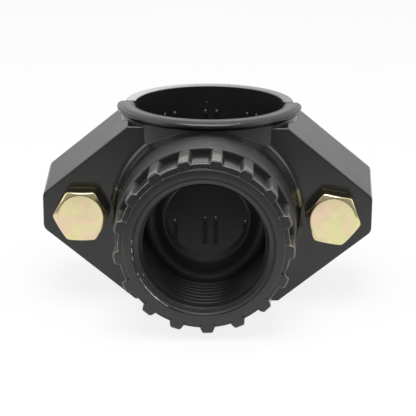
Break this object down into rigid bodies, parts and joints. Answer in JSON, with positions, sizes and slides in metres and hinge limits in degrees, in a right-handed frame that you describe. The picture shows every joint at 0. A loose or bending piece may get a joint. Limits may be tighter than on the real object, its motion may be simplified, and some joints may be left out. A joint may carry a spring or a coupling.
{
  "type": "tapping saddle",
  "caption": "Two-part moulded clamp saddle that bolts round a plastic pipe and gives it a female threaded branch outlet with a ribbed reinforcing ring.",
  "frame": {"origin": "on the pipe's axis, at the middle of the collar; the outlet's axis passes 0.8 mm below it", "axes": "+Z along the pipe, -Y out of the threaded outlet, +X towards the right wing for someone who looks into the outlet"},
  "size_m": [0.0902, 0.072, 0.0508],
  "materials": {
    "saddle_plastic": "satin black polypropylene, moulded",
    "strap_plastic": "satin black polypropylene, moulded",
    "ring_plastic": "satin black plastic with sharp moulded ribs",
    "seal_rubber": "smooth black rubber",
    "bolt_steel": "yellow zinc-plated steel with a faint rainbow sheen",
    "nut_steel": "yellow zinc-plated steel"
  },
  "bodies": {
    "saddle_body": {"saddle_half": "saddle_plastic", "reinforcing_ring": "ring_plastic", "seal": "seal_rubber"},
    "strap_body": {"strap_half": "strap_plastic", "left_nut": "nut_steel", "right_nut": "nut_steel"},
    "left_bolt_body": {"left_bolt": "bolt_steel"},
    "right_bolt_body": {"right_bolt": "bolt_steel"}
  },
  "joints": [
    {"name": "left_bolt_turn", "type": "hinge", "parent": "saddle_body", "child": "left_bolt_body", "pos_m": [-0.03298, 0, -0.0008], "axis": [0, -1, 0], "range_deg": [0, 2304]},
    {"name": "right_bolt_turn", "type": "hinge", "parent": "saddle_body", "child": "right_bolt_body", "pos_m": [0.03298, 0, -0.0008], "axis": [0, -1, 0], "range_deg": [0, 2304]},
    {"name": "strap_slide", "type": "slide", "parent": "saddle_body", "child": "strap_body", "axis": [0, 1, 0], "range_m": [0, 0.008]}
  ],
  "couplings": [
    {"joint": "right_bolt_turn", "follows": "left_bolt_turn", "ratio": 1},
    {"joint": "strap_slide", "follows": "left_bolt_turn", "m_per_rad": 0.00019894}
  ]
}
